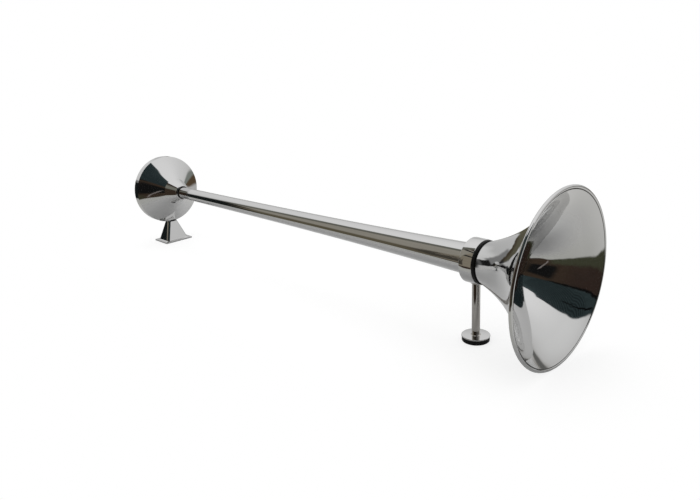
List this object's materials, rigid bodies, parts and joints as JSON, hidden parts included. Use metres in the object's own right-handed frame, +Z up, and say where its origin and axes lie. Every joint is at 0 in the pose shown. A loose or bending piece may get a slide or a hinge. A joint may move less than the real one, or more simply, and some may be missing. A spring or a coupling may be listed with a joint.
{
  "type": "air horn",
  "caption": "Long polished trumpet horn with a flared bell, a drum-shaped diaphragm housing, a pyramid foot and a post under a rubber-lined collar.",
  "frame": {"origin": "centre of the rear foot's underside, midway between its deck bolts", "axes": "+X along the trumpet towards the mouth of the bell, +Z up from the deck, -Z out of the deck bolts' holes"},
  "size_m": [0.7558, 0.178, 0.179],
  "materials": {
    "polished_steel": "mirror-polished stainless steel",
    "plain_steel": "satin stainless steel",
    "brass": "turned brass",
    "rubber": "smooth black rubber",
    "gasket": "matte sealing rubber",
    "fibre": "red-brown vulcanised fibre"
  },
  "bodies": {
    "horn": {"bell": "polished_steel", "rim_wire": "plain_steel", "trumpet_tube": "polished_steel", "throat_nipple": "polished_steel", "throat_seal": "fibre", "front_cover": "polished_steel", "front_gasket": "gasket", "spacer_ring": "plain_steel", "rear_gasket": "gasket", "back_cover": "polished_steel", "cover_screws": "plain_steel", "spring_washers": "plain_steel", "rear_foot": "polished_steel", "saddle_gasket": "rubber", "inlet_screw": "brass", "inlet_seal": "fibre"},
    "diaphragm": {"diaphragm": "plain_steel", "diaphragm_stiffener": "brass"},
    "front_support": {"support_collar": "polished_steel", "collar_bush": "rubber", "support_post": "polished_steel", "foot_disc": "polished_steel", "foot_pad": "rubber"}
  },
  "joints": [
    {"name": "diaphragm_flex", "type": "slide", "parent": "horn", "child": "diaphragm", "axis": [-1, 0, 0], "range_m": [0, 0.0003], "stiffness_N_per_m": 2000},
    {"name": "front_support_turn", "type": "hinge", "parent": "horn", "child": "front_support", "pos_m": [0.641, 0, 0.09], "axis": [1, 0, 0], "continuous": true}
  ]
}
